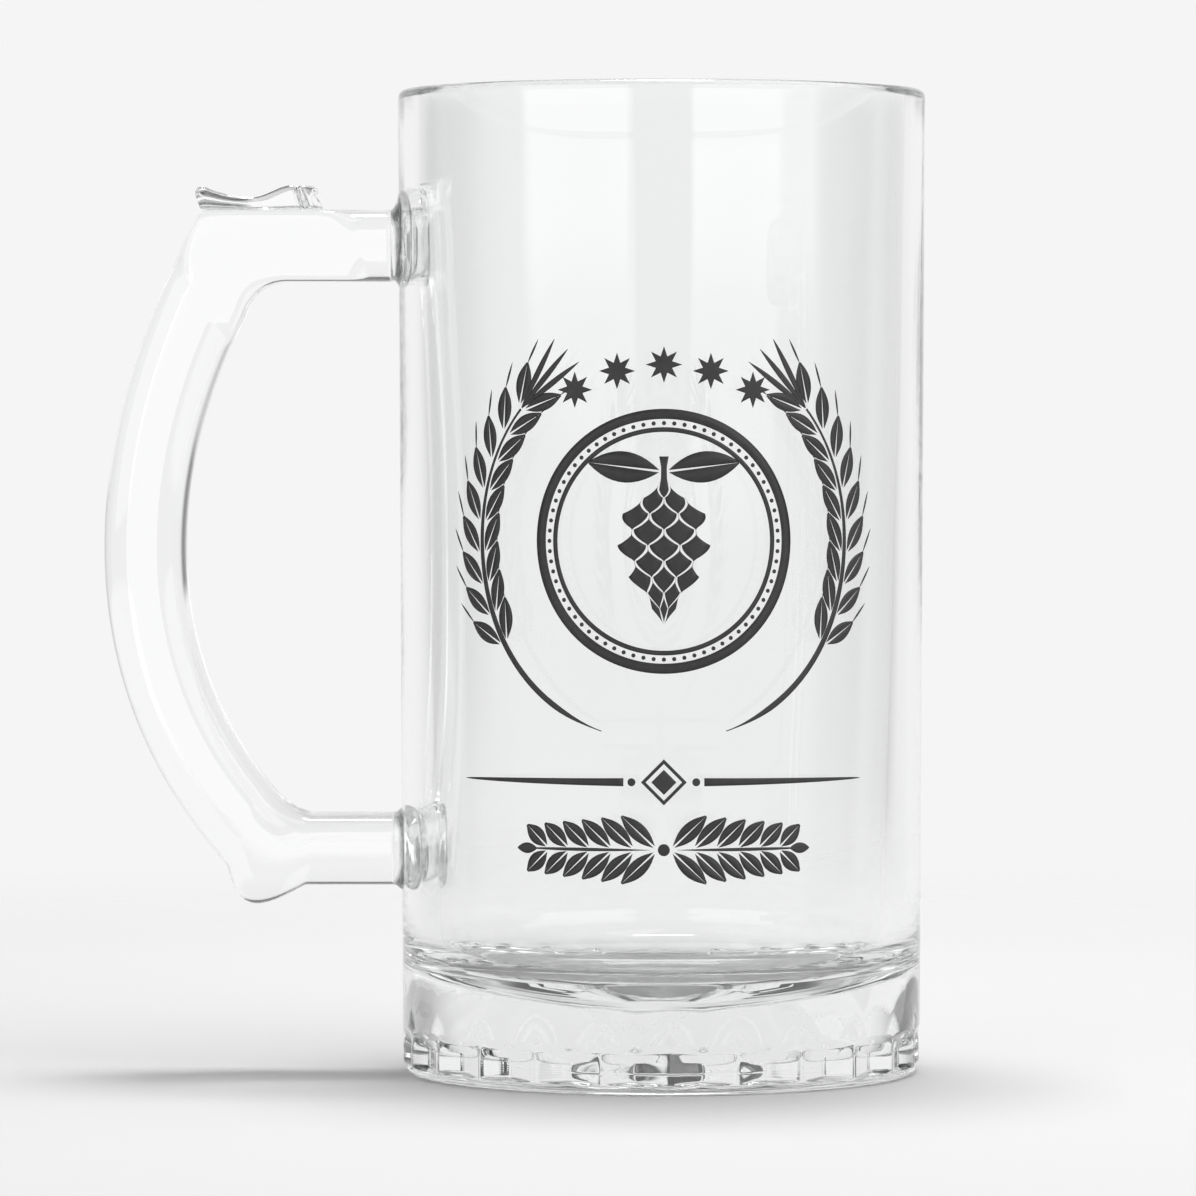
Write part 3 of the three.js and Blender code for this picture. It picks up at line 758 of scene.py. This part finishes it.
def makeHopCone():
    # overlapping scales: each one's lower half swells as a sine, its upper half fits between those above;
    # the rows are then drawn in across to an egg-shaped outline
    skin = Skin()
    top = medallion[1] + hop["length"] / 2 - hop["stalk"]
    body = hop["length"] - hop["stalk"]
    rowStep = body / (hop["rows"] + 1)
    pitch = hop["width"] / 3
    u = np.linspace(0, 1, 17)
    lower = np.sin(math.pi / 2 * np.clip(2 - 2 * u, 0, 1)) ** hop["scaleSwell"]
    upper = 1 - np.sin(math.pi / 2 * np.clip(1 - 2 * u, 0, 1)) ** hop["scaleSwell"]
    half = np.maximum(pitch / 2 * np.where(u > 0.5, lower, upper) - hop["scaleGap"] / 2, hop["scaleTip"])

    def squeezed(across, up):
        share = np.clip((top - up) / body, 0.001, 0.999)
        egg = (hop["neck"] + (1 - hop["neck"]) * np.sin(math.pi * share**0.75)) * (1 - share**6)
        return np.stack((across * egg, up), -1)

    for row in range(hop["rows"]):
        up = top - rowStep * (row + 2 * u) + hop["scaleLift"]
        for off in ((-1, 0, 1) if row % 2 else (-0.5, 0.5)):
            ribbon(skin, squeezed(off * pitch - half, up), squeezed(off * pitch + half, up))
    stalkEdge = np.array(hop["stalkEdge"]) * (1, hop["stalk"]) + (0, top)
    ribbon(skin, stalkEdge * (-1, 1), stalkEdge)
    out, up = hop["leafStart"]
    for angle in (hop["leafTilt"], math.pi - hop["leafTilt"]):
        start = np.array((out * math.cos(angle), top + hop["stalk"] * up))
        leafFilm(skin, start, angle, hop["leafLength"], hop["leafWidth"], hop["vein"])
    printPiece(skin, "print_hop_cone")


barley = {
    "radius": 29.5, "stalkStart": -1.25, "earStart": -0.55, "earEnd": 0.72,   # angles round the medallion
    "stem": 0.9, "stemTaper": 0.6, "stemTip": 0.15, "tipLength": 0.3,
    "grainLength": 6.4, "grainWidth": 2.5, "grainPairs": 9, "grainTilt": 0.5, "grainGap": 0.4,
    "grainStart": 0.5, "grainVein": 0.3,
    "awnLength": 12, "awnTilt": 0.22,
    "hairLength": 4.2, "hairWidth": 0.34, "hairStart": 0.94, "hairBend": 0.5,
}


def makeBarleyEar(node, side):
    # a stalk bent round the medallion, pairs of parted grains with a hair each, and a fan of awns
    b = barley
    skin = Skin()

    def onWreath(angle, radius):
        return medallion + np.stack((side * radius * np.cos(angle), radius * np.sin(angle)), -1)

    def heading(angle, tilt):
        forward = angle + math.pi / 2 + tilt
        return forward if side > 0 else math.pi - forward

    stalk = np.linspace(b["stalkStart"], b["earEnd"], 60)
    half = b["stem"] / 2 * (1 - b["stemTaper"] * smoothStep(stalk, b["earStart"], b["earEnd"]))
    opening = smoothStep(stalk, b["stalkStart"], b["stalkStart"] + b["tipLength"])
    half = half * (b["stemTip"] + (1 - b["stemTip"]) * opening)
    edges = onWreath(stalk, b["radius"] - half), onWreath(stalk, b["radius"] + half)
    ribbon(skin, *edges[::side])
    for angle in np.linspace(b["earStart"], b["earEnd"], b["grainPairs"]):
        for tilt in (b["grainTilt"], -b["grainTilt"]):
            aim = heading(angle, tilt)
            ahead = np.array((math.cos(aim), math.sin(aim)))
            root = onWreath(angle, b["radius"] - math.copysign(b["grainGap"], tilt))
            root = root + b["grainStart"] * ahead
            leafFilm(skin, root, aim, b["grainLength"], b["grainWidth"], b["grainVein"])
            tip = root + ahead * b["grainLength"] * b["hairStart"]
            leafFilm(skin, tip, aim - side * tilt * b["hairBend"], b["hairLength"], b["hairWidth"], steps=6)
    earTip = onWreath(b["earEnd"], b["radius"])
    for tilt in (-b["awnTilt"], 0, b["awnTilt"]):
        leafFilm(skin, earTip, heading(b["earEnd"], tilt), b["awnLength"], b["stem"])
    printPiece(skin, node)


star = {"points": 8, "radius": 2.7, "waist": 1.3, "count": 5}


def makeStar(node):
    # tips and waists in turn, the first tip upright
    skin = Skin()
    corners = 2 * star["points"]
    radii = np.where(np.arange(corners) % 2, star["waist"], star["radius"])[:, None]
    polygonFilm(skin, nodePlace(node) + radii * circle(corners, math.pi / 2))
    printPiece(skin, node)


rule = {
    "length": 66, "thickness": 1.1, "taper": 0.6, "leastHalf": 0.05,
    "lozenge": 3.4, "line": 0.7, "coreGap": 2.2,   # the gap to the core, in widths of the lozenge's line
    "bead": 0.6, "beadPlace": 1.4, "lineStart": 2.6,   # out from the lozenge's corner
}


def makeRule():
    # a line that tapers to both ends as (1-u)^taper, parted in the middle by a framed lozenge and two beads
    skin = Skin()
    place = nodePlace("print_rule")
    corners = np.array(((1, 0), (0, 1), (-1, 0), (0, -1)), float)
    outline = alongSides(corners, 8)
    lozenge = rule["lozenge"]
    ribbon(skin, place + outline * (lozenge - rule["line"]), place + outline * lozenge, 2, True)
    polygonFilm(skin, place + corners * (lozenge - rule["coreGap"] * rule["line"]))
    u = np.linspace(0, 1, 24)
    half = rule["thickness"] / 2 * (1 - u) ** rule["taper"] + rule["leastHalf"]
    along = u * (rule["length"] / 2 - lozenge - rule["lineStart"])
    edge = np.stack((along, half), -1)
    for side, angle in ((1, 0), (-1, math.pi)):
        dotFilm(skin, place + np.array((side * (lozenge + rule["beadPlace"]), 0)), rule["bead"], 16)
        start = place + np.array((side * (lozenge + rule["lineStart"]), 0))
        ribbon(skin, start + turned(edge, angle), start + turned(edge * (1, -1), angle))
    printPiece(skin, "print_rule")


sprig = {
    "length": 46, "stem": 0.5, "bead": 0.9, "stemStart": 1.6,
    "leaves": 6, "leafLength": 6.2, "leafWidth": 2.5, "leafTilt": 0.75, "vein": 0.3,
    "firstLeaf": 0.4, "leafRoot": 0.35,
    "leafSizes": (1.15, 0.45),   # of the largest, and how it lessens outwards
    "tipLength": 3.5, "tipWidth": 1.6,
}


def makeSprig():
    # grows to both sides from a bead in the middle, its leaves in pairs that shorten outwards
    p = sprig
    skin = Skin()
    place = nodePlace("print_sprig")
    dotFilm(skin, place, p["bead"], 20)
    reach = p["length"] / 2
    largest, lessening = p["leafSizes"]
    for side, aim in ((1, 0), (-1, math.pi)):
        stemPlace = place + np.array((side * p["stemStart"], 0))
        leafFilm(skin, stemPlace, aim, reach - p["stemStart"], p["stem"], steps=20)
        for pair in range(p["leaves"]):
            share = (pair + p["firstLeaf"]) / p["leaves"]
            across = side * (reach - p["leafLength"] / 2) * share
            length = p["leafLength"] * (largest - lessening * share)
            for tilt in (p["leafTilt"], -p["leafTilt"]):
                root = place + np.array((across, math.copysign(p["leafRoot"], tilt)))
                angle = tilt if side > 0 else math.pi - tilt
                leafFilm(skin, root, angle, length, p["leafWidth"], p["vein"])
        tipPlace = place + np.array((side * (reach - p["tipLength"]), 0))
        leafFilm(skin, tipPlace, aim, p["tipLength"], p["tipWidth"])
    printPiece(skin, "print_sprig")


makeRings()
makeHopCone()
makeBarleyEar("print_barley_left", -1)
makeBarleyEar("print_barley_right", 1)
for number in range(star["count"]):
    makeStar(f"print_star_{number + 1}")
makeRule()
makeSprig()
print("print made")


# Floor, world and lights in metres, and the camera

floorLook = {
    "radii": (0.2, 0.35, 0.5), "sides": 96, "drop": 0.00005,
    "tone": (0.62, 0.62, 0.62, 1), "fade": (0.22, 0.48),   # where the paper fades out, from the middle
}


def makeFloor():
    # a disc of rings round the middle
    f = floorLook
    flat = np.array(f["radii"])[:, None, None] * circle(f["sides"])
    points = np.concatenate((flat, np.full(flat.shape[:2] + (1,), -f["drop"])), -1)
    ring = np.arange(points.shape[0] * points.shape[1]).reshape(points.shape[:2])
    beside = np.roll(ring, -1, axis=1)
    faces = np.stack((ring[:-1], ring[1:], beside[1:], beside[:-1]), -1).reshape(-1, 4).tolist()
    mesh = bpy.data.meshes.new("studio_floor")
    mesh.from_pydata(points.reshape(-1, 3), [], [ring[0].tolist()] + faces)
    mesh.update()
    floor = bpy.data.objects.new("studio_floor", mesh)
    scene.collection.objects.link(floor)
    material, tree = newMaterial("pale_floor")
    place = makeNode(tree, "ShaderNodeTexCoord", None, None, "Object")
    out = makeNode(tree, "ShaderNodeVectorMath", {"operation": "LENGTH"}, {0: place}, "Value")
    far = out.ramp(*f["fade"])
    paper = makeNode(tree, "ShaderNodeBsdfDiffuse", None, {"Color": f["tone"]})
    clear = makeNode(tree, "ShaderNodeBsdfTransparent")
    shader = makeNode(tree, "ShaderNodeMixShader", None, {0: far, 1: paper, 2: clear})
    finishTree(tree, "ShaderNodeOutputMaterial", shader)
    mesh.materials.append(material)


# edges are given as the sine of the angle, to the side or up
studio = {
    "backdrop": 0.913, "panelEdge": (0.6, 0.86),   # the bright panel behind and where it ends
    "sides": 0.45, "front": 0.65, "backBlend": 0.1,
    "above": 0.34, "ceiling": (0.38, 0.63), "ceilingBehind": 0.12,   # the ceiling starts higher behind
    "table": (-0.14, -0.08),                       # lower than this all round, the pale table goes on
    # a black flag low on the left, which edges the handle's bow
    "flag": 0.06, "flagEdge": (0.7, 0.86), "flagTop": (0.12, 0.2),
    # a dark card over the backdrop
    "card": 0.1, "cardEdge": (0.38, 0.48), "cardFoot": (0.6, 0.68), "cardTop": (0.88, 0.95),
    "boxes": ((-0.91, -0.24), (0.21, 0.96)),       # the front boxes, from side to side
    "boxEdge": 0.04, "boxLight": 1.4, "boxFoot": (0.0, 0.02),
    "bounces": 64,                                 # rays cross many skins of glass
}


def makeWorld():
    # a level of light for every direction, each part laid over those before it
    world = bpy.data.worlds.new("white_studio")
    world.use_nodes = True
    tree = world.node_tree
    tree.nodes.clear()
    direction = makeNode(tree, "ShaderNodeTexCoord", None, None, "Generated")
    side, depth, height = (makeNode(tree, "ShaderNodeSeparateXYZ", None, {0: direction}, axis)
                           for axis in "XYZ")
    behind = depth.ramp(-studio["backBlend"], studio["backBlend"])
    panel = 1 - abs(side).ramp(*studio["panelEdge"])
    back = panel * (studio["backdrop"] - studio["sides"]) + studio["sides"]
    flag = (0 - side).ramp(*studio["flagEdge"]) * (1 - abs(height).ramp(*studio["flagTop"]))
    back = back * (1 - flag) + flag * studio["flag"]
    boxes = 0.0
    for left, right in studio["boxes"]:
        edge = studio["boxEdge"]
        boxes = boxes + side.ramp(left, left + edge) * (1 - side.ramp(right - edge, right))
    boxes = boxes * (1 - behind) * height.ramp(*studio["boxFoot"])
    level = behind * (back - studio["front"]) + studio["front"] + boxes * studio["boxLight"]
    high = height.ramp(*(behind * studio["ceilingBehind"] + edge for edge in studio["ceiling"]))
    level = level * (1 - high) + high * studio["above"]
    cardUp = height.ramp(*studio["cardFoot"]) * (1 - height.ramp(*studio["cardTop"]))
    card = behind * cardUp * (1 - abs(side).ramp(*studio["cardEdge"]))
    level = level * (1 - card) + card * studio["card"]
    table = 1 - height.ramp(*studio["table"])
    level = level * (1 - table) + table * studio["backdrop"]
    seen = makeNode(tree, "ShaderNodeLightPath", None, None, "Is Camera Ray")
    shown = level * (1 - seen) + studio["backdrop"] * seen
    shader = makeNode(tree, "ShaderNodeBackground", None, {"Color": (1, 1, 1, 1), "Strength": shown})
    finishTree(tree, "ShaderNodeOutputWorld", shader)
    scene.world = world


# one box overhead to the right, whose shadow falls to the left, one behind for the shadow in front,
# and a panel by the camera, which only the handle and its thumb rest mirror
lamps = {
    "right_box": {"place": (0.6, -0.2, 0.9), "target": (0, 0, 0), "size": (1.2, 1.2), "power": 5.8},
    "back_box": {"place": (0.01, 0.17, 1.2), "target": (0, 0, 0), "size": (0.36, 0.36), "power": 9.9},
    "handle_panel": {"place": (-0.185, -1.04, 0.05), "target": (-0.185, 0, 0.05),
                     "size": (0.47, 0.9), "power": 3.0},
}


def softBox(name, place, target, size, power):
    # lights the glass and the floor, but isn't seen through the glass
    light = bpy.data.lights.new(name, "AREA")
    light.shape = "RECTANGLE"
    light.size, light.size_y = size
    light.energy = power
    lamp = bpy.data.objects.new(name, light)
    lamp.location = place
    lamp.rotation_euler = (Vector(target) - Vector(place)).to_track_quat("-Z", "Y").to_euler()
    lamp.visible_camera = False
    lamp.visible_transmission = False
    scene.collection.objects.link(lamp)
    return lamp


def makeLights():
    # the panel is linked to the handle's two pieces alone
    boxes = {name: softBox(name, **lamp) for name, lamp in lamps.items()}
    mirrors = bpy.data.collections.new("handle_glass")
    mirrors.objects.link(bowHandle)
    mirrors.objects.link(thumbSaddle)
    boxes["handle_panel"].light_linking.receiver_collection = mirrors


view = {
    "sensor": 36, "focalPixels": 6800, "pictureWidth": 1196,   # focal length and width, both in pixels
    "distance": 1040, "eyeHeight": 103, "aimHeight": 72.5, "aimSide": -9.7,
}


def makeCamera():
    # looks slightly down from the eye's height to the aim
    camera = bpy.data.objects.new("camera", bpy.data.cameras.new("camera"))
    camera.data.lens = view["sensor"] * view["focalPixels"] / view["pictureWidth"]
    camera.data.sensor_width = view["sensor"]
    camera.location = ((axisX + view["aimSide"]) * mm, -view["distance"] * mm, view["eyeHeight"] * mm)
    pitch = math.atan2(view["eyeHeight"] - view["aimHeight"], view["distance"])
    camera.rotation_euler = (math.pi / 2 - pitch, 0, 0)
    camera.data.clip_start = 0.01
    scene.collection.objects.link(camera)
    scene.camera = camera


makeFloor()
makeWorld()
makeLights()
makeCamera()
scene.view_settings.view_transform = "Standard"
scene.cycles.max_bounces = studio["bounces"]
scene.cycles.transmission_bounces = studio["bounces"]
scene.cycles.glossy_bounces = studio["bounces"]
print("stage made")
